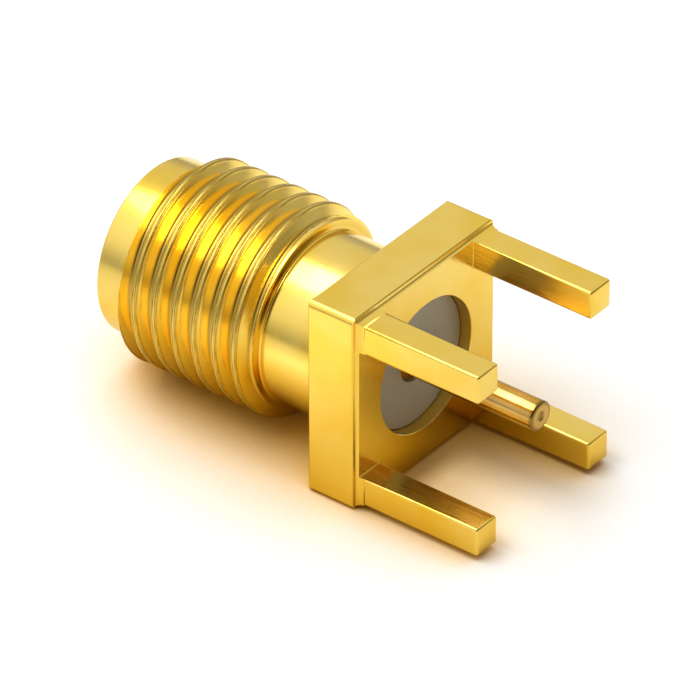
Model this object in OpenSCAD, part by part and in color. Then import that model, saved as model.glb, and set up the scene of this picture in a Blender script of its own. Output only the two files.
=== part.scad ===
// Coaxial board jack with a 1/4-36 threaded barrel and four square legs.
//
// The barrel's axis is X. The mating end points to +X, the legs point to -X,
// and the seat that lies on the board is the plane X = 0. All sizes are in mm.

/* [Flange] */
// Width across the square flange
flange_w = 6.35; // [6.2:0.05:8]
// Distance from the board seat to the front of the flange
flange_t = 1.68; // [1.2:0.02:3]
// Rounding of the four flange edges that run along the barrel
flange_edge_r = 0.2; // [0.05:0.01:0.3]
// Rounding of the rim round the board side of the flange
flange_rim_r = 0.07; // [0.02:0.01:0.15]
// How far the ledge outside the legs lies behind the board seat
ledge_step = 0.1; // [0.05:0.01:0.3]

/* [Legs] */
// Spacing between the centres of the legs, both ways
leg_pitch = 5.08; // [4.6:0.01:5.2]
// Width of one square leg
leg_w = 0.9; // [0.6:0.01:1]
// Length of a leg below the board seat
leg_l = 4.05; // [2:0.05:6]
// Length of the flare where a leg's outer faces run into the ledge
leg_root_l = 0.3; // [0.1:0.01:0.5]
// Bevel round the tip of a leg
leg_tip_bevel = 0.1; // [0.02:0.01:0.15]

/* [Barrel] */
// Distance from the board seat to the mating face
barrel_l = 9.57; // [8.5:0.01:14]
// Nominal diameter of the thread, from which its form is laid out
thread_nominal_d = 6.35; // [6.3:0.01:6.5]
// Diameter over the thread's crests, which are cut a little flat
thread_d = 6.24; // [6.1:0.01:6.3]
// Threads to the inch
thread_per_inch = 36; // [32:1:40]
// Length of the full thread
thread_l = 4.38; // [3:0.02:5.5]
// Length of the shoulder that slopes from the last thread down to the neck
thread_shoulder_l = 0.3; // [0.1:0.05:0.6]
// Angle at which the groove leaves the front of the thread, from +Y towards +Z
thread_start_angle = 115; // [0:5:355]
// Diameter of the plain pilot ahead of the thread
pilot_d = 5.28; // [5:0.01:5.3]
// Length of the plain pilot
pilot_l = 1.13; // [0.4:0.01:1.3]
// Bevel on the outer edge of the mating face
pilot_bevel = 0.06; // [0.02:0.01:0.15]
// Diameter of the plain neck between the thread and the flange
neck_d = 5.14; // [5:0.01:5.3]

/* [Interface] */
// Diameter of the socket that takes the plug's outer shell
socket_d = 4.62; // [4.5:0.01:4.8]
// Depth of that socket, down to the reference plane
socket_depth = 1.93; // [1.5:0.01:2.2]
// Lead-in bevel at the mouth of the socket
socket_bevel = 0.1; // [0.02:0.01:0.15]
// Diameter of the bore that holds the insulator
insulator_bore_d = 4.1; // [3.9:0.01:4.3]
// How far the insulator lies below the board seat
insulator_recess = 0.38; // [0.1:0.01:0.8]

/* [Contact] */
// Outside diameter of the contact's barrel
contact_d = 1.27; // [1.2:0.01:1.4]
// Diameter of the hole for the plug's pin
contact_bore_d = 0.94; // [0.85:0.01:1]
// Depth of the hole for the plug's pin
contact_bore_depth = 2.9; // [2.5:0.05:3.5]
// Length of the four slots between the contact's fingers
contact_slot_l = 2.1; // [1.5:0.05:2.4]
// Width of one slot
contact_slot_w = 0.2; // [0.1:0.01:0.3]
// How far the contact's mouth lies behind the reference plane
contact_recess = 0.08; // [0.02:0.01:0.25]
// Diameter of the tail that goes through the board
tail_d = 0.9; // [0.6:0.01:1.1]
// Length of the tail below the board seat
tail_l = 3.95; // [2:0.05:6]
// Bevel round the tip of the tail
tail_bevel = 0.07; // [0.02:0.01:0.15]
// How far the tail's shoulder lies inside the insulator
tail_shoulder_depth = 0.12; // [0.05:0.01:1]
// Width across the dimple in the tip of the tail
dimple_d = 0.34; // [0.1:0.01:0.4]

/* [Retention] */
// Clearance on each side of a piece that sits in another
seat_clearance = 0.01; // [0.005:0.005:0.03]
// Height of the rings that lock the insulator and the contact
lock_h = 0.15; // [0.05:0.01:0.2]
// Width of those rings
lock_w = 0.6; // [0.3:0.05:1]
// Distance from the board seat to the insulator's ring
insulator_lock_x = 4.2; // [2:0.1:5]
// Distance from the board seat to the contact's ring
contact_lock_x = 2.6; // [1.5:0.1:3.5]

/* [Hidden] */

round_fn = 96;
eps = 0.01;
mm_per_inch = 25.4;

gold = [0.86, 0.69, 0.29];
ptfe = [0.93, 0.92, 0.89];

// Thread form, a sixty-degree V whose width on the pitch line is half a turn
thread_pitch = mm_per_inch / thread_per_inch;
thread_flank_angle = 30;
thread_pitch_r = thread_nominal_d / 2 - 0.3248 * thread_pitch;
thread_root_r = thread_nominal_d / 2 - 0.6134 * thread_pitch;
thread_steps = 48;

// Places along the barrel
flange_back_x = ledge_step;
thread_front_x = barrel_l - pilot_l;
thread_back_x = thread_front_x - thread_l;
reference_x = barrel_l - socket_depth;
insulator_back_x = insulator_recess;
contact_front_x = reference_x - contact_recess;
tail_shoulder_x = insulator_back_x + tail_shoulder_depth;

// Lays a shape that is drawn round Z along the barrel's axis
module along_x() rotate([0, 90, 0]) children();

// Outline of the flange seen along the barrel, with round corners
module flange_outline() {
    inner = flange_w - 2 * flange_edge_r;
    square([flange_w, inner], center = true);
    square([inner, flange_w], center = true);
    for (y = [-1, 1], z = [-1, 1])
        translate([y * inner / 2, z * inner / 2])
            circle(flange_edge_r, $fn = round_fn);
}

// One half of the milled outline: x runs along the barrel, y away from its axis
module milled_half() {
    outer = (leg_pitch + leg_w) / 2;
    inner = (leg_pitch - leg_w) / 2;
    ledge_end = flange_w / 2 - flange_rim_r;
    // flange up to the ledge, with its rim rounded
    translate([flange_back_x + flange_rim_r, 0])
        square([flange_t - flange_back_x - flange_rim_r, flange_w / 2]);
    translate([flange_back_x, 0]) square([flange_t - flange_back_x, ledge_end]);
    translate([flange_back_x + flange_rim_r, ledge_end]) circle(flange_rim_r, $fn = round_fn);
    // board seat
    square([flange_t, outer]);
    // leg, with a bevelled tip
    polygon([
        [flange_t, inner],
        [flange_t, outer],
        [leg_tip_bevel - leg_l, outer],
        [-leg_l, outer - leg_tip_bevel],
        [-leg_l, inner + leg_tip_bevel],
        [leg_tip_bevel - leg_l, inner]
    ]);
    // flare from the leg out to the ledge, as tall as the flat of the ledge
    difference() {
        translate([flange_back_x - leg_root_l, outer - eps])
            square([leg_root_l + eps, ledge_end - outer + eps]);
        translate([flange_back_x - leg_root_l, ledge_end])
            scale([leg_root_l, ledge_end - outer]) circle(1, $fn = round_fn);
    }
}

// The milled outline seen from one side, as wide as the flange
module milled_side() {
    linear_extrude(flange_w, center = true) {
        milled_half();
        mirror([0, 1]) milled_half();
    }
}

// Flange, board seat and legs, milled from square bar from three sides
module milled_end() {
    intersection() {
        milled_side();
        rotate([90, 0, 0]) milled_side();
        translate([-leg_l, 0, 0]) along_x()
            linear_extrude(leg_l + flange_t) flange_outline();
    }
}

// Neck, thread blank and pilot
module barrel() {
    thread_r = thread_d / 2;
    front_step = thread_r - pilot_d / 2;
    along_x() rotate_extrude($fn = round_fn) polygon([
        [0, flange_t - eps],
        [neck_d / 2, flange_t - eps],
        [neck_d / 2, thread_back_x - thread_shoulder_l],
        [thread_r, thread_back_x],
        [thread_r, thread_front_x],
        [pilot_d / 2, thread_front_x + front_step / 4],
        [pilot_d / 2, barrel_l - pilot_bevel],
        [pilot_d / 2 - pilot_bevel, barrel_l],
        [0, barrel_l]
    ]);
}

// Half the groove's width at a given distance from the axis
function groove_half_w(r) = thread_pitch / 4 + (r - thread_pitch_r) * tan(thread_flank_angle);

// Corners of the groove's section at one place along the barrel
function groove_section(x) =
    let (
        angle = thread_start_angle + (x - thread_front_x) * 360 / thread_pitch,
        out_r = thread_d / 2 + 0.1,
        corners = [
            [-groove_half_w(out_r), out_r],
            [-groove_half_w(thread_root_r), thread_root_r],
            [groove_half_w(thread_root_r), thread_root_r],
            [groove_half_w(out_r), out_r]
        ]
    )
    [for (c = corners) [x + c[0], c[1] * cos(angle), c[1] * sin(angle)]];

// One length of the groove, from one ring of corners along it to another
module groove_length(first, last, first_x, ring_step) {
    count = last - first;
    points = [for (i = [first:last]) each groove_section(first_x + i * ring_step)];
    sides = [for (i = [0:count - 1], k = [0:3])
        let (a = 4 * i + k, b = 4 * i + (k + 1) % 4)
        each [[a, b + 4, b], [a, a + 4, b + 4]]];
    ends = [[0, 1, 2, 3], [4 * count + 3, 4 * count + 2, 4 * count + 1, 4 * count]];
    polyhedron(points, concat(sides, ends));
}

// The helical groove that cuts the thread, run out past both ends of the blank. It is made in
// half turns that overlap by a ring, so none crosses itself where the crests run out to an edge
module thread_groove() {
    first_x = thread_back_x - thread_shoulder_l - thread_pitch;
    last_x = thread_front_x + thread_pitch;
    rings = ceil((last_x - first_x) / thread_pitch * thread_steps);
    half_turn = thread_steps / 2;
    for (i = [0:half_turn:rings - 1])
        groove_length(i, min(i + half_turn + 1, rings), first_x, (last_x - first_x) / rings);
}

// Everything that is bored out of the body from its two ends
module body_bore() {
    bore_r = insulator_bore_d / 2;
    along_x() rotate_extrude($fn = round_fn) polygon([
        [0, -eps],
        [bore_r, -eps],
        [bore_r, insulator_lock_x],
        [bore_r + lock_h, insulator_lock_x],
        [bore_r + lock_h, insulator_lock_x + lock_w],
        [bore_r, insulator_lock_x + lock_w],
        [bore_r, reference_x],
        [socket_d / 2, reference_x],
        [socket_d / 2, barrel_l - socket_bevel],
        [socket_d / 2 + socket_bevel + eps, barrel_l + eps],
        [0, barrel_l + eps]
    ]);
}

module body() color(gold) difference() {
    union() {
        milled_end();
        barrel();
    }
    body_bore();
    thread_groove();
}

module insulator() {
    outer_r = insulator_bore_d / 2 - seat_clearance;
    inner_r = contact_d / 2 + seat_clearance;
    rib = insulator_lock_x + seat_clearance;
    rib_end = insulator_lock_x + lock_w - seat_clearance;
    groove_end = contact_lock_x + lock_w;
    color(ptfe) along_x() rotate_extrude($fn = round_fn) polygon([
        [inner_r, insulator_back_x],
        [outer_r, insulator_back_x],
        [outer_r, rib],
        [outer_r + lock_h, rib],
        [outer_r + lock_h, rib_end],
        [outer_r, rib_end],
        [outer_r, reference_x],
        [inner_r, reference_x],
        [inner_r, groove_end],
        [inner_r + lock_h, groove_end],
        [inner_r + lock_h, contact_lock_x],
        [inner_r, contact_lock_x]
    ]);
}

module centre_contact() {
    barb = contact_lock_x + seat_clearance;
    barb_end = contact_lock_x + lock_w - seat_clearance;
    bore_end = contact_front_x - contact_bore_depth;
    bore_r = contact_bore_d / 2;
    color(gold) difference() {
        along_x() rotate_extrude($fn = round_fn) polygon([
            [0, dimple_d / 2 - tail_l],
            [dimple_d / 2, -tail_l],
            [tail_d / 2 - tail_bevel, -tail_l],
            [tail_d / 2, tail_bevel - tail_l],
            [tail_d / 2, tail_shoulder_x],
            [contact_d / 2, tail_shoulder_x],
            [contact_d / 2, barb],
            [contact_d / 2 + lock_h, barb],
            [contact_d / 2, barb_end],
            [contact_d / 2, contact_front_x],
            [bore_r, contact_front_x],
            [bore_r, bore_end],
            [0, bore_end - bore_r / 2]
        ]);
        for (turn = [0, 90])
            rotate([turn, 0, 0])
                translate([contact_front_x - contact_slot_l, -contact_slot_w / 2, -contact_d])
                    cube([contact_slot_l + eps, contact_slot_w, 2 * contact_d]);
    }
}

body();
insulator();
centre_contact();
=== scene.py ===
"""Looks of the coaxial board jack: a gold-plated body, its PTFE insulator and the centre contact.

The part lies on one side of its flange on a white table. X runs along the barrel, the legs
point to -X and +Z is up. Shapes are worked out in millimetres and then scaled to metres.
"""

import math

import bmesh
import bpy
import numpy as np
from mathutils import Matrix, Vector


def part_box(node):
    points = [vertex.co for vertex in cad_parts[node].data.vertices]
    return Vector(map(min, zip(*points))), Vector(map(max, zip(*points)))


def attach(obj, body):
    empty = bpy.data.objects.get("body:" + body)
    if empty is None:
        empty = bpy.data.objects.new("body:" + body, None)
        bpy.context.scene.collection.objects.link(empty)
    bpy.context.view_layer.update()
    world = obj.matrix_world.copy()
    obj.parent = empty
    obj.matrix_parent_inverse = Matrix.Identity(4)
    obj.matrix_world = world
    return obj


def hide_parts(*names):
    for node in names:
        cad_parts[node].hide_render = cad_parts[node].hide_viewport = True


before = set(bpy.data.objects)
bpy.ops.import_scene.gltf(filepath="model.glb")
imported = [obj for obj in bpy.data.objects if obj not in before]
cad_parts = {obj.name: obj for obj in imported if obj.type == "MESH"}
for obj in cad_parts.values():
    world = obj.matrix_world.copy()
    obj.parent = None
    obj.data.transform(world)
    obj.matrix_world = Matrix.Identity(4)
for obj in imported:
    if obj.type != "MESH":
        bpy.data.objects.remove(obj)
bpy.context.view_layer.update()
MM = 0.001

# ---- sizes, in millimetres ----
body_low, body_high = (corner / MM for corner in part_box("body"))
insulator_low, insulator_high = (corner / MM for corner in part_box("insulator"))
contact_low, contact_high = (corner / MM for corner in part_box("centre_contact"))

# flange, with its four long edges, the rim at the board's side and the ledge beside the legs
FLANGE_W = body_high.z - body_low.z
FLANGE_T = 1.68
FLANGE_EDGE_R = 0.2
RIM_R = 0.07
FRONT_EDGE_R = 0.1
LEDGE_STEP = 0.1
SEAT_CORNER_R = 0.03

# square legs, which flare out to the ledge at their roots
LEG_PITCH = 5.08
LEG_W = 0.9
LEG_L = -body_low.x
LEG_ROOT_L = 0.3
LEG_EDGE_R = 0.08

# barrel: plain pilot, thread, low collar and plain neck, which runs on into the flange
BARREL_L = body_high.x
PILOT_R = 2.64
PILOT_L = 1.13
PILOT_BEVEL = 0.06
NECK_R = 2.57
NECK_BURIED_L = 0.4
THREAD_R = 3.12
THREAD_L = 4.38
PITCH = 25.4 / 36
PITCH_R = 6.35 / 2 - 0.3248 * PITCH
ROOT_R = 6.35 / 2 - 0.6134 * PITCH
FLANK = math.tan(math.radians(30))
TOOL_MARK = 0.022
THREAD_START = math.radians(115)
THREAD_FRONT = BARREL_L - PILOT_L
THREAD_BACK = THREAD_FRONT - THREAD_L
COLLAR_R = 2.86
COLLAR_BACK = THREAD_BACK - 0.21
COLLAR_EDGE = COLLAR_BACK + 0.02
COLLAR_FRONT = THREAD_BACK - 0.05
COLLAR_RAMP_L = 0.1

# bores of the body
SOCKET_R = 2.31
SOCKET_DEPTH = 1.93
SOCKET_BEVEL = 0.1
BORE_R = 2.05
BORE_BEVEL = 0.02
RING_X, RING_W, RING_H = 4.2, 0.6, 0.15

# centre contact, slotted at its mouth
CONTACT_R = 0.635
CONTACT_BORE_R = 0.47
CONTACT_BORE_L = 2.9
SLOT_L, SLOT_W = 2.1, 0.2
TAIL_R = 0.45
TAIL_L = -contact_low.x
TAIL_BEVEL = 0.07
TAIL_SHOULDER = 0.12
DIMPLE_R = 0.17
CLEARANCE = 0.01

# fineness of the meshes: steps in a turn, and rows of the thread's two ends
TURN_STEPS = 240
BACK_ROW_STEP = 0.009
FRONT_ROW_STEP = 0.008
ROW_MARGIN = 0.06


# ---- mesh helpers ----
def arc(centre, radius, start, end, steps):
    """Points of an arc, with angles in degrees."""
    angles = np.radians(np.linspace(start, end, steps + 1))
    return [(centre[0] + radius * math.cos(a), centre[1] + radius * math.sin(a)) for a in angles]


def rounded(corners, radii, steps=4):
    """An open outline whose inner corners are rounded, one radius for each corner."""
    points = [np.array(corners[0], float)]
    for before, corner, after, radius in zip(corners, corners[1:], corners[2:], radii):
        before, corner, after = (np.array(p, float) for p in (before, corner, after))
        if not radius:
            points.append(corner)
            continue
        to_before = (before - corner) / np.linalg.norm(before - corner)
        to_after = (after - corner) / np.linalg.norm(after - corner)
        half = math.acos(np.clip(to_before @ to_after, -1, 1)) / 2
        start = corner + to_before * radius / math.tan(half)
        end = corner + to_after * radius / math.tan(half)
        inwards = (to_before + to_after) / np.linalg.norm(to_before + to_after)
        middle = corner + inwards * radius / math.sin(half)
        for t in np.linspace(0, 1, steps + 1):
            ray = start + (end - start) * t - middle
            points.append(middle + ray / np.linalg.norm(ray) * radius)
    points.append(np.array(corners[-1], float))
    return points


def make_object(name, vertices, faces, merge=1e-4):
    """A mesh object from points in millimetres, with doubled points merged."""
    mesh = bpy.data.meshes.new(name)
    mesh.from_pydata([tuple(v) for v in vertices], [], [tuple(f) for f in faces])
    obj = bpy.data.objects.new(name, mesh)
    bpy.context.scene.collection.objects.link(obj)
    bm = bmesh.new()
    bm.from_mesh(mesh)
    bmesh.ops.remove_doubles(bm, verts=bm.verts, dist=merge)
    bmesh.ops.dissolve_degenerate(bm, dist=merge / 10, edges=bm.edges)
    bmesh.ops.recalc_face_normals(bm, faces=bm.faces)
    bm.to_mesh(mesh)
    bm.free()
    return obj


def on_axis(x, radius, angle):
    """A point at a place along X, a distance from it and an angle round it."""
    return (x, radius * math.cos(angle), radius * math.sin(angle))


def revolve(name, profile, steps=TURN_STEPS):
    """A solid turned round X from (x, radius) points that start and end on the axis, or join up."""
    angles = [2 * math.pi * j / steps for j in range(steps)]
    vertices = [on_axis(x, r, a) for x, r in profile for a in angles]
    faces = []
    for i in range(len(profile) - 1):
        for j in range(steps):
            k = (j + 1) % steps
            faces.append((i * steps + j, i * steps + k, (i + 1) * steps + k, (i + 1) * steps + j))
    return make_object(name, vertices, faces)


def prism(name, outline, axis, low, high):
    """A closed (u, v) outline pushed along one axis: u, v are x, y for z; x, z for y; and y, z for x."""
    place = {
        "z": lambda u, v, w: (u, v, w),
        "y": lambda u, v, w: (u, w, v),
        "x": lambda u, v, w: (w, u, v),
    }[axis]
    n = len(outline)
    vertices = [place(u, v, w) for w in (low, high) for u, v in outline]
    faces = [tuple(range(n)), tuple(range(n, 2 * n))]
    faces += [(i, (i + 1) % n, n + (i + 1) % n, n + i) for i in range(n)]
    return make_object(name, vertices, faces)


def combine(target, tool, operation):
    """Boolean of two solids; the tool is used up."""
    modifier = target.modifiers.new("boolean", "BOOLEAN")
    modifier.operation = operation
    modifier.solver = "EXACT"
    modifier.object = tool
    with bpy.context.temp_override(object=target, active_object=target):
        bpy.ops.object.modifier_apply(modifier=modifier.name)
    bpy.data.objects.remove(tool)
    return target


def finish_piece(obj, sharp_angle=32):
    """Scales a piece to metres and gives it smooth shading with crisp edges."""
    obj.data.transform(Matrix.Scale(MM, 4))
    for polygon in obj.data.polygons:
        polygon.use_smooth = True
    obj.data.set_sharp_from_angle(angle=math.radians(sharp_angle))
    weighted = obj.modifiers.new("normals", "WEIGHTED_NORMAL")
    weighted.keep_sharp = True
    weighted.weight = 80
    return obj


# ---- body ----
def milled_outline():
    """The flange and legs seen from one side: x along the barrel, then distance from its axis."""
    outer, inner = (LEG_PITCH + LEG_W) / 2, (LEG_PITCH - LEG_W) / 2
    half = FLANGE_W / 2
    ledge_end = half - RIM_R
    flare = [
        (LEDGE_STEP - LEG_ROOT_L * (1 - math.cos(t)), ledge_end - (ledge_end - outer) * math.sin(t))
        for t in np.linspace(0, math.pi / 2, 9)
    ]
    flange = rounded(
        [(FLANGE_T, 0), (FLANGE_T, half), (LEDGE_STEP, half), flare[0]],
        [FRONT_EDGE_R, RIM_R * 0.99],
    )
    tip = rounded(
        [flare[-1], (-LEG_L, outer), (-LEG_L, inner), (0, inner), (0, 0)],
        [0, 0, SEAT_CORNER_R],
    )
    edge = flange[:-1] + flare[:-1] + tip
    return edge + [(x, -y) for x, y in reversed(edge[1:-1])]


def flange_outline():
    """The flange seen along the barrel, with rounded corners."""
    half, r = FLANGE_W / 2, FLANGE_EDGE_R
    inner = half - r
    corners = [(inner, inner, 0), (-inner, inner, 90), (-inner, -inner, 180), (inner, -inner, 270)]
    return [p for y, z, turn in corners for p in arc((y, z), r, turn, turn + 90, 6)]


def round_legs(end):
    """Rounds the long edges and the tips of the legs."""
    bm = bmesh.new()
    bm.from_mesh(end.data)
    edges = []
    for edge in bm.edges:
        one, other = (vertex.co.x for vertex in edge.verts)
        at_tip = max(one, other) < 0.01 - LEG_L
        long = abs(one - other) > 0.7 * LEG_L
        if (at_tip or long) and edge.calc_face_angle(0) > math.radians(30):
            edges.append(edge)
    bmesh.ops.bevel(bm, geom=edges, offset=LEG_EDGE_R, segments=4, profile=0.5, affect="EDGES")
    bm.to_mesh(end.data)
    bm.free()


def milled_end():
    """Flange, board seat and four legs, milled from square bar."""
    reach = FLANGE_W
    end = prism("milled_end", milled_outline(), "z", -reach, reach)
    combine(end, prism("side", milled_outline(), "y", -reach, reach), "INTERSECT")
    combine(end, prism("front", flange_outline(), "x", -2 * LEG_L, 2 * FLANGE_T), "INTERSECT")
    round_legs(end)
    return end


def groove_profile():
    """One turn of the thread as (distance from the groove's middle, radius), from crest to crest."""
    def half_width(r):
        return PITCH / 4 + (r - PITCH_R) * FLANK

    crest = half_width(THREAD_R)
    half = [
        (0, ROOT_R),
        (half_width(ROOT_R), ROOT_R),
        (crest, THREAD_R),
        (crest + TOOL_MARK, THREAD_R),
        (crest + 1.5 * TOOL_MARK, THREAD_R - TOOL_MARK / 2),
        (crest + 2 * TOOL_MARK, THREAD_R),
        (PITCH / 2, THREAD_R),
    ]
    right = rounded(half, [0.09, 0.035, 0, 0, 0], 4)
    return [(-x, r) for x, r in reversed(right[1:])] + right


GROOVE = np.array(groove_profile())


def thread_radius(x, angle):
    """Radius of an endless thread at a place along the barrel."""
    middle = THREAD_FRONT + (angle - THREAD_START) * PITCH / (2 * math.pi)
    offset = (x - middle + PITCH / 2) % PITCH - PITCH / 2
    return float(np.interp(offset, GROOVE[:, 0], GROOVE[:, 1]))


def thread_strip(low, high):
    """The thread between two planes across the barrel, swept as one strip along its helix."""
    first = math.floor((low - THREAD_FRONT) / PITCH - 0.5) * TURN_STEPS
    last = math.ceil((high - THREAD_FRONT) / PITCH + 0.5) * TURN_STEPS
    vertices, faces = [], []
    n = len(GROOVE)
    for j in range(first, last + 1):
        middle = THREAD_FRONT + j * PITCH / TURN_STEPS
        angle = THREAD_START + 2 * math.pi * j / TURN_STEPS
        at_low, at_high = thread_radius(low, angle), thread_radius(high, angle)
        for offset, r in GROOVE:
            x = middle + offset
            if x <= low:
                x, r = low, at_low
            elif x >= high:
                x, r = high, at_high
            vertices.append(on_axis(x, r, angle))
    for j in range(last - first):
        for i in range(n - 1):
            a = j * n + i
            faces.append((a, a + 1, a + n + 1, a + n))
    return vertices, faces


def barrel():
    """Neck, thread and pilot as one closed solid whose back end is buried in the flange.

    The thread starts behind a low collar, where the tool has not yet reached its full depth.
    """
    front_foot = THREAD_FRONT + (THREAD_R - PILOT_R) / 4
    blank = np.array(
        rounded(
            [
                (FLANGE_T - NECK_BURIED_L, NECK_R),
                (COLLAR_BACK, NECK_R),
                (COLLAR_EDGE, COLLAR_R),
                (COLLAR_FRONT, COLLAR_R),
                (COLLAR_FRONT + COLLAR_RAMP_L, THREAD_R),
                (THREAD_FRONT, THREAD_R),
                (front_foot, PILOT_R),
                (BARREL_L, PILOT_R),
                (BARREL_L, 0),
            ],
            [0.06, 0.02, 0.02, 0.02, 0.04, 0.04, PILOT_BEVEL],
            6,
        )
    )
    back_end, front_start = THREAD_BACK + ROW_MARGIN, THREAD_FRONT - ROW_MARGIN
    x_low, x_high = COLLAR_BACK - 0.08, front_foot + ROW_MARGIN
    behind = blank[blank[:, 0] < x_low]
    ahead = blank[blank[:, 0] > x_high]
    order = np.argsort(blank[:, 0], kind="stable")

    def blank_radius(x):
        return float(np.interp(x, blank[order, 0], blank[order, 1]))

    angles = [THREAD_START + 2 * math.pi * j / TURN_STEPS for j in range(TURN_STEPS)]
    vertices, faces = thread_strip(back_end, front_start)

    def rows(ring_list):
        """Joins rings of points, each with one point for each step of a turn."""
        start = len(vertices)
        for ring in ring_list:
            vertices.extend(ring)
        for i in range(len(ring_list) - 1):
            for j in range(TURN_STEPS):
                k = (j + 1) % TURN_STEPS
                a, b = start + i * TURN_STEPS, start + (i + 1) * TURN_STEPS
                faces.append((a + j, a + k, b + k, b + j))

    def plain_ring(x, r):
        return [on_axis(x, r, a) for a in angles]

    def thread_ring(x):
        return [on_axis(x, thread_radius(x, a), a) for a in angles]

    def cut_ring(x):
        return [on_axis(x, min(blank_radius(x), thread_radius(x, a)), a) for a in angles]

    back_rows = [plain_ring(blank[0, 0], 0)] + [plain_ring(x, r) for x, r in behind]
    back_rows += [cut_ring(x) for x in np.arange(x_low, back_end, BACK_ROW_STEP)]
    back_rows += [thread_ring(back_end)]
    rows(back_rows)
    front_rows = [thread_ring(front_start)]
    front_rows += [cut_ring(x) for x in np.arange(front_start, x_high, FRONT_ROW_STEP)[1:]]
    front_rows += [plain_ring(x, r) for x, r in ahead]
    rows(front_rows)
    return make_object("barrel", vertices, faces)


def body_bore():
    """Everything bored out of the body from its two ends."""
    reference = BARREL_L - SOCKET_DEPTH
    past_back, past_front = -0.5, BARREL_L + 0.2
    profile = [
        (past_back, 0),
        (past_back, BORE_R + 0.3),
        (0.0, BORE_R + BORE_BEVEL),
        (BORE_BEVEL, BORE_R),
        (RING_X, BORE_R),
        (RING_X, BORE_R + RING_H),
        (RING_X + RING_W, BORE_R + RING_H),
        (RING_X + RING_W, BORE_R),
        (reference, BORE_R),
        (reference, SOCKET_R),
        (BARREL_L - SOCKET_BEVEL, SOCKET_R),
        (past_front, SOCKET_R + SOCKET_BEVEL + 0.2),
        (past_front, 0),
    ]
    return revolve("body_bore", profile)


def build_body():
    """The body in one piece: milled end and barrel, bored from both ends."""
    body = milled_end()
    combine(body, barrel(), "UNION")
    combine(body, body_bore(), "DIFFERENCE")
    body.name = body.data.name = "body_gold"
    return finish_piece(body)


# ---- insulator and contact ----
def build_insulator():
    """A rod with a ring round it that sits in the body's recess."""
    outer, inner = BORE_R - CLEARANCE, CONTACT_R + CLEARANCE
    low, high = insulator_low.x, insulator_high.x
    profile = rounded(
        [
            (low + 1, inner),
            (low, inner),
            (low, outer),
            (RING_X + CLEARANCE, outer),
            (RING_X + CLEARANCE, outer + RING_H),
            (RING_X + RING_W - CLEARANCE, outer + RING_H),
            (RING_X + RING_W - CLEARANCE, outer),
            (high, outer),
            (high, inner),
            (low + 1, inner),
        ],
        [0.02, 0.03, 0, 0, 0, 0, 0.03, 0.02],
    )
    return finish_piece(revolve("insulator_ptfe", profile))


def build_contact():
    """The turned contact: tail with a dimpled end, shoulder and a socket cut into four fingers."""
    shoulder = insulator_low.x + TAIL_SHOULDER
    mouth = contact_high.x
    bottom = mouth - CONTACT_BORE_L
    profile = rounded(
        [
            (DIMPLE_R * 0.8 - TAIL_L, 0),
            (-TAIL_L, DIMPLE_R),
            (-TAIL_L, TAIL_R),
            (shoulder, TAIL_R),
            (shoulder, CONTACT_R),
            (mouth, CONTACT_R),
            (mouth, CONTACT_BORE_R),
            (bottom, CONTACT_BORE_R),
            (bottom - CONTACT_BORE_R / 2, 0),
        ],
        [0.03, TAIL_BEVEL, 0, 0.03, 0.03, 0.03, 0],
    )
    contact = revolve("contact_gold", profile, 120)
    low, high, half = mouth - SLOT_L, mouth + 0.1, SLOT_W / 2
    for axis in ("y", "z"):
        outline = [(low, -half), (high, -half), (high, half), (low, half)]
        combine(contact, prism("slot", outline, axis, -2 * CONTACT_R, 2 * CONTACT_R), "DIFFERENCE")
    return finish_piece(contact)


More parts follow.
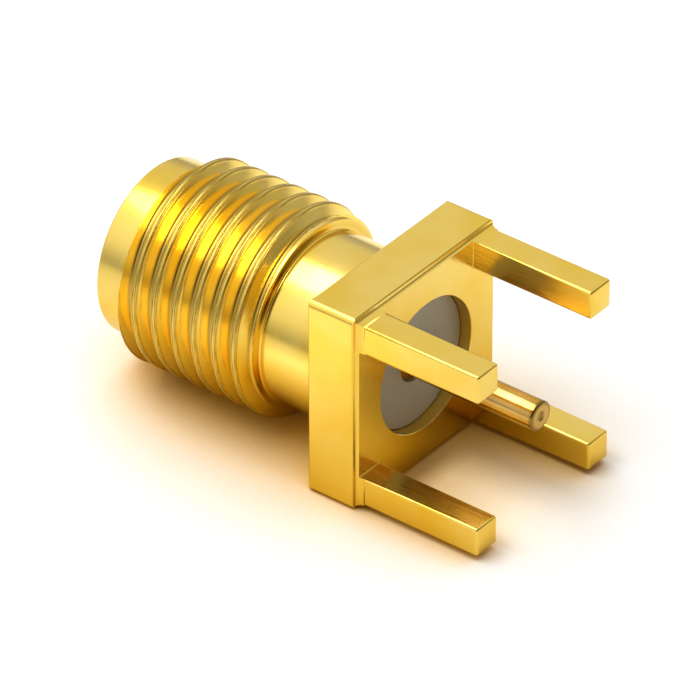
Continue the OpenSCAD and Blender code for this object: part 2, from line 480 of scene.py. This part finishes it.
# ---- materials ----
class Nodes:
    """Short ways to add and link nodes in one material or world."""

    def __init__(self, owner, shader="Principled BSDF"):
        owner.use_nodes = True
        self.tree = owner.node_tree
        self.shader = self.tree.nodes[shader]

    def add(self, kind, inputs=None, **settings):
        node = self.tree.nodes.new("ShaderNode" + kind)
        for key, value in settings.items():
            setattr(node, key, value)
        for key, value in (inputs or {}).items():
            self.put(node.inputs[key], value)
        return node

    def put(self, socket, value):
        if isinstance(value, bpy.types.NodeSocket):
            self.tree.links.new(value, socket)
        else:
            socket.default_value = value

    def place(self, scale):
        """Object coordinates, in millimetres times a scale for each axis."""
        coordinates = self.add("TexCoord").outputs["Object"]
        return self.add("Mapping", {"Vector": coordinates, "Scale": [s / MM for s in scale]}).outputs[0]

    def split(self):
        """Distances along the barrel, across it and up, in millimetres."""
        parts = self.add("SeparateXYZ", {"Vector": self.place((1, 1, 1))}).outputs
        return [parts[axis] for axis in "XYZ"]

    def length(self, vector):
        return self.add("VectorMath", {0: vector}, operation="LENGTH").outputs["Value"]

    def from_axis(self, across_y, across_z):
        """Distance from the barrel's axis."""
        return self.length(self.add("CombineXYZ", {"Y": across_y, "Z": across_z}).outputs[0])

    def noise_at(self, vector, detail, roughness):
        inputs = {"Vector": vector, "Scale": 1.0, "Detail": detail, "Roughness": roughness}
        return self.add("TexNoise", inputs).outputs[0]

    def noise(self, scale, detail=3.0, roughness=0.5):
        return self.noise_at(self.place(scale), detail, roughness)

    def ramp(self, value, low, high, low_value=0.0, high_value=1.0):
        """Runs from low_value to high_value as the value goes from low to high, and stays there."""
        span = {"From Min": low, "From Max": high, "To Min": low_value, "To Max": high_value}
        return self.add("MapRange", {"Value": value, **span}).outputs[0]

    def math(self, operation, a, b=0.0):
        node = self.add("Math", operation=operation)
        self.put(node.inputs[0], a)
        self.put(node.inputs[1], b)
        return node.outputs[0]

    def blend(self, factor, a, b):
        mix = self.add("Mix", data_type="RGBA")
        self.put(mix.inputs[0], factor)
        self.put(mix.inputs[6], a)
        self.put(mix.inputs[7], b)
        return mix.outputs[2]

    def bump(self, height, strength, distance, before=None):
        """A bump of a height in millimetres, on top of another where one is given."""
        node = self.add("Bump", {"Height": height, "Strength": strength, "Distance": distance * MM})
        if before is not None:
            self.put(node.inputs["Normal"], before)
        return node.outputs[0]


PALE_GOLD = (0.96, 0.69, 0.16, 1)
DEEP_GOLD = (0.93, 0.62, 0.08, 1)
CREST_PALE = (0.84, 0.60, 0.13, 1)
CREST_BROWN = (0.36, 0.23, 0.03, 1)
# painted shade: the brown laid into the thread's roots, the collar's step and the tail's end
PAINTED_SHADE_BROWN = (0.24, 0.14, 0.03, 1)
WORN_GOLD = (0.70, 0.45, 0.13, 1)
COPPERY = (0.52, 0.29, 0.06, 1)
# PTFE colours painted darker than white PTFE, as painted shade in its recess
PTFE_PAINTED_SHADE_DARK = (0.46, 0.42, 0.33, 1)
PTFE_PAINTED_SHADE_LIGHT = (0.49, 0.45, 0.36, 1)
LINES_A_TURN = 18.0


def thread_masks(n):
    """Values that follow the thread: tool lines along its helix, its root together with the collar's
    step, where shade is painted, and its crest.
    """
    along, across_y, across_z = n.split()
    radius = n.from_axis(across_y, across_z)
    angle = n.math("SUBTRACT", n.math("ARCTAN2", across_z, across_y), THREAD_START)
    pitches = n.math("DIVIDE", n.math("SUBTRACT", along, THREAD_FRONT), PITCH)
    helix = n.math("FRACT", n.math("SUBTRACT", pitches, n.math("DIVIDE", angle, 2 * math.pi)))
    lined = n.add(
        "CombineXYZ",
        {"X": n.math("MULTIPLY", helix, LINES_A_TURN), "Y": across_y, "Z": across_z},
    ).outputs[0]
    lines = n.noise_at(lined, 3.0, 0.6)
    inside = n.math(
        "MULTIPLY",
        n.ramp(along, THREAD_BACK - 0.1, THREAD_BACK),
        n.ramp(along, THREAD_FRONT + 0.1, THREAD_FRONT),
    )
    # painted shade in the thread's roots
    root = n.math("MULTIPLY", inside, n.ramp(radius, ROOT_R + 0.09, ROOT_R + 0.02))
    crest = n.math("MULTIPLY", inside, n.ramp(radius, THREAD_R - 0.06, THREAD_R - 0.02))
    # painted shade in the step where the collar meets the neck
    from_step = n.math("ABSOLUTE", n.math("SUBTRACT", along, COLLAR_EDGE))
    step = n.ramp(from_step, 0.04, 0.02, 0, 0.2)
    return lines, n.math("MAXIMUM", root, step), crest


def tail_end_shade_mask(n):
    """Where shade is painted on the end of the tail: round its bevel and in its dimple."""
    along, across_y, across_z = n.split()
    radius = n.from_axis(across_y, across_z)
    rim = n.ramp(radius, TAIL_R - 0.13, TAIL_R - 0.07)
    dark = n.math("MAXIMUM", rim, n.ramp(radius, DIMPLE_R, DIMPLE_R - 0.05))
    at_end = n.ramp(along, TAIL_BEVEL + 0.08 - TAIL_L, TAIL_BEVEL - TAIL_L)
    return n.math("MULTIPLY", dark, at_end)


def gold(name, grain, roughness, bump, colours=(PALE_GOLD, DEEP_GOLD), threaded=False, tail_end_shade=False):
    """Bright gold plate over a cut surface whose marks run along the low values of grain."""
    material = bpy.data.materials.new(name)
    n = Nodes(material)
    patches = n.noise((0.5, 0.5, 0.5), 2)
    marks = n.noise(grain, 3, 0.6)
    colour = n.blend(n.ramp(patches, 0.35, 0.65), *colours)
    rough = n.ramp(marks, 0.3, 0.7, roughness - 0.05, roughness + 0.06)
    normal = n.bump(marks, 0.5, bump)
    if tail_end_shade:
        # painted shade round the tail's end bevel and in its dimple
        colour = n.blend(n.math("MULTIPLY", tail_end_shade_mask(n), 0.8), colour, PAINTED_SHADE_BROWN)
    if threaded:
        # painted shade darkens the roots and the collar's step, and the tool leaves the crests matt and
        # lined
        lines, root, crest = thread_masks(n)
        colour = n.blend(n.math("MULTIPLY", root, 0.6), colour, PAINTED_SHADE_BROWN)
        matt = n.blend(n.ramp(lines, 0.42, 0.58), CREST_BROWN, CREST_PALE)
        colour = n.blend(n.math("MULTIPLY", crest, 0.85), colour, matt)
        rough = n.math("ADD", rough, n.math("MULTIPLY", root, 0.14))
        rough = n.math("ADD", rough, n.math("MULTIPLY", crest, 0.18))
        normal = n.bump(n.math("MULTIPLY", lines, crest), 0.6, 0.02, normal)
    n.put(n.shader.inputs["Base Color"], colour)
    n.shader.inputs["Metallic"].default_value = 1.0
    n.put(n.shader.inputs["Roughness"], rough)
    n.put(n.shader.inputs["Normal"], normal)
    return material


def ptfe():
    """Waxy PTFE, slightly clouded, in colours painted darker as painted shade of its recess."""
    material = bpy.data.materials.new("white_ptfe")
    n = Nodes(material)
    cloud = n.noise((1.2, 1.2, 1.2), 3)
    grain = n.noise((14, 14, 14), 3)
    n.put(n.shader.inputs["Base Color"], n.blend(cloud, PTFE_PAINTED_SHADE_DARK, PTFE_PAINTED_SHADE_LIGHT))
    n.shader.inputs["Roughness"].default_value = 0.45
    n.put(n.shader.inputs["Normal"], n.bump(grain, 0.3, 0.01))
    return material


# ---- table, light and camera ----
TABLE_HALF = 150
# painted reflection: the table as the gold sees it, with painted bounce light and painted shadow
PAINTED_REFLECTION_NEAR = (0.74, 0.72, 0.68, 1)
PAINTED_REFLECTION_AHEAD = (0.38, 0.38, 0.36, 1)
PAINTED_REFLECTION_FAR_SIDE = (0.95, 0.93, 0.88, 1)
PAINTED_GLEAM_BESIDE_BARREL = (0.98, 0.95, 0.88, 1)
PAINTED_GOLD_BOUNCE = (0.74, 0.58, 0.14, 1)
PAINTED_CONTACT_SHADOW = (0.50, 0.30, 0.02, 1)
# painted shadow on the table, as the camera sees it
SHADOW_WARM = (1.0, 0.72, 0.38, 1)
SHADOW_DEEP = (0.74, 0.44, 0.06, 1)
SHADOW_OPEN = (0.86, 0.86, 0.85, 1)
WHITE = (1, 1, 1, 1)

KEY = (0.35, 0.25, 0.90)
KEY_DISTANCE = 160
KEY_SIZE = (150, 72)
KEY_POWER = 0.14
VIEWER = (-0.50, 0.65, 0.57)

LENS = 467.2
SENSOR_W = 36
CAMERA_AZIMUTH, CAMERA_ELEVATION = math.radians(217.898), math.radians(35.140)
CAMERA_TARGET = (1.809, 1.099, 0.346)
CAMERA_DISTANCE = 250


def painted_table_reflection(n, along, across, open_sky):
    """The table as the gold mirrors it: a painted reflection, darker ahead, lighter to the far side and
    beside the barrel, with painted gold bounce light near the part and painted shadow where the part
    closes in.
    """
    table = n.blend(n.ramp(along, 10, 35), PAINTED_REFLECTION_NEAR, PAINTED_REFLECTION_AHEAD)
    table = n.blend(n.ramp(across, -6, -20), table, PAINTED_REFLECTION_FAR_SIDE)
    beside = n.math("ABSOLUTE", n.math("SUBTRACT", along, 6.5))
    table = n.blend(n.ramp(beside, 4.5, 1.5), table, PAINTED_GLEAM_BESIDE_BARREL)
    middle = {0: n.place((0.16, 0.2, 0)), 1: (0.4, 0.0, 0)}
    reach = n.length(n.add("VectorMath", middle, operation="SUBTRACT").outputs[0])
    table = n.blend(n.ramp(reach, 1.9, 0.6), table, PAINTED_GOLD_BOUNCE)
    return n.blend(n.ramp(open_sky, 0.25, 0.8), PAINTED_CONTACT_SHADOW, table)


def table_to_camera(n, open_sky):
    """The table as the camera sees it: white, with painted warm shadow where the part shades it."""
    table = n.blend(n.ramp(open_sky, 0.45, 0.88), SHADOW_WARM, SHADOW_OPEN)
    return n.blend(n.ramp(open_sky, 0.15, 0.55), SHADOW_DEEP, table)


def painted_table_glow(n, along, across, open_sky):
    """Painted glow: emission that lifts the open table towards white and adds painted light between the
    legs, seen by the camera and mirrored in the gold.
    """
    painted_light_between_legs = n.math("MULTIPLY", n.ramp(along, -0.3, -1.0), n.ramp(across, -1.2, 0.2, 0, 0.4))
    painted_light_between_legs = n.math("MULTIPLY", painted_light_between_legs, n.ramp(across, 3.0, 1.2))
    painted_light_between_legs = n.math("MULTIPLY", painted_light_between_legs, n.ramp(along, -6.0, -3.5))
    glow = n.math("ADD", n.ramp(open_sky, 0.42, 0.92, 0, 0.32), painted_light_between_legs)
    return n.math("MULTIPLY", glow, n.ramp(n.length(n.place((1, 1, 0))), 60, 20))


def build_floor():
    """A white table top under the flange, with painted warm shadow, a painted reflection for the gold
    and a painted glow near the part.
    """
    half, z = TABLE_HALF, body_low.z
    corners = [(-half, -half, z), (half, -half, z), (half, half, z), (-half, half, z)]
    floor = make_object("table_top", corners, [(0, 1, 2, 3)])
    floor.data.transform(Matrix.Scale(MM, 4))
    material = bpy.data.materials.new("white_table")
    n = Nodes(material)
    path = n.add("LightPath").outputs
    seen = n.math("MAXIMUM", path["Is Camera Ray"], path["Is Glossy Ray"])
    along, across, _ = n.split()
    open_sky = n.add("AmbientOcclusion", {"Distance": 9 * MM}, samples=8).outputs["AO"]
    # painted reflection for the gold's rays, painted shadow for the camera's
    colour = n.blend(
        path["Is Camera Ray"],
        painted_table_reflection(n, along, across, open_sky),
        table_to_camera(n, open_sky),
    )
    n.put(n.shader.inputs["Base Color"], colour)
    n.shader.inputs["Roughness"].default_value = 0.6
    n.shader.inputs["Specular IOR Level"].default_value = 0.2
    n.put(n.shader.inputs["Emission Color"], colour)
    # painted glow of the table, seen by the camera and in the gold
    strength = n.math("MULTIPLY", seen, painted_table_glow(n, along, across, open_sky))
    n.put(n.shader.inputs["Emission Strength"], strength)
    floor.data.materials.append(material)
    return floor


def build_world():
    """White to the camera; to the part, a pale room.

    The room is darker low down, behind the legs and where someone stands to look at the part.
    """
    world = bpy.data.worlds.new("studio")
    bpy.context.scene.world = world
    n = Nodes(world, "Background")
    direction = n.add("TexCoord").outputs["Generated"]
    parts = n.add("SeparateXYZ", {"Vector": direction}).outputs
    x, y, z = (parts[axis] for axis in "XYZ")

    def towards(vector):
        return n.add("VectorMath", {0: direction, 1: vector}, operation="DOT_PRODUCT").outputs["Value"]

    walls = n.ramp(z, 0.02, 0.35, 0.5, 1.0)
    behind = n.ramp(y, -0.9, 0.3, 0.75, 1.0)
    above = n.math("MULTIPLY", walls, behind)
    room = n.blend(n.ramp(x, -0.5, -0.2), n.ramp(z, 0.2, 0.4, 0.5, 0.2), above)
    room = n.math("MULTIPLY", room, n.ramp(towards(Vector(VIEWER)), 0.72, 0.88, 1, 0.15))
    light = n.math("ADD", room, n.ramp(towards(Vector(KEY).normalized()), 0.75, 0.95, 0, 0.25))
    to_camera = n.add("LightPath").outputs["Is Camera Ray"]
    strength = n.add("Mix", {0: to_camera, 2: light, 3: 1.0}).outputs[0]
    n.put(n.shader.inputs["Strength"], strength)
    n.shader.inputs["Color"].default_value = WHITE


def build_key_lamp():
    """One wide soft lamp above the barrel, turned towards the part."""
    light = bpy.data.lights.new("key_lamp", "AREA")
    light.shape = "RECTANGLE"
    light.size, light.size_y = (s * MM for s in KEY_SIZE)
    light.energy = KEY_POWER
    lamp = bpy.data.objects.new("key_lamp", light)
    bpy.context.scene.collection.objects.link(lamp)
    lamp.location = Vector(KEY).normalized() * KEY_DISTANCE * MM
    lamp.rotation_euler = (-lamp.location).to_track_quat("-Z", "Y").to_euler()


def build_camera():
    """The photo's view: from the legs' side, a little above."""
    camera_data = bpy.data.cameras.new("camera")
    camera_data.lens = LENS
    camera_data.sensor_width = SENSOR_W
    camera_data.clip_start = 0.01
    camera = bpy.data.objects.new("camera", camera_data)
    bpy.context.scene.collection.objects.link(camera)
    back = Vector(
        (
            math.sin(CAMERA_AZIMUTH) * math.cos(CAMERA_ELEVATION),
            -math.cos(CAMERA_AZIMUTH) * math.cos(CAMERA_ELEVATION),
            math.sin(CAMERA_ELEVATION),
        )
    )
    camera.location = Vector(CAMERA_TARGET) * MM + back * CAMERA_DISTANCE * MM
    camera.rotation_euler = back.to_track_quat("Z", "Y").to_euler()
    bpy.context.scene.camera = camera


# ---- put together ----
turned_gold = gold("gold_turned", grain=(14, 0.15, 0.15), roughness=0.16, bump=0.005, threaded=True)
milled_gold = gold("gold_milled", grain=(1.0, 10, 10), roughness=0.21, bump=0.007)
drawn_gold = gold(
    "gold_drawn",
    grain=(1.0, 16, 16),
    roughness=0.17,
    bump=0.008,
    colours=(WORN_GOLD, COPPERY),
    tail_end_shade=True,
)

body = build_body()
body.data.materials.append(turned_gold)
body.data.materials.append(milled_gold)
flange_front = (FLANGE_T + 0.01) * MM
for polygon in body.data.polygons:
    polygon.material_index = 1 if polygon.center.x < flange_front else 0
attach(body, "root")
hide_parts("body")

insulator = build_insulator()
insulator.data.materials.append(ptfe())
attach(insulator, "root")
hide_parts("insulator")

contact = build_contact()
contact.data.materials.append(drawn_gold)
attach(contact, "root")
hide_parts("centre_contact")

build_floor()
build_world()
build_key_lamp()
build_camera()
bpy.context.scene.view_settings.view_transform = "Standard"
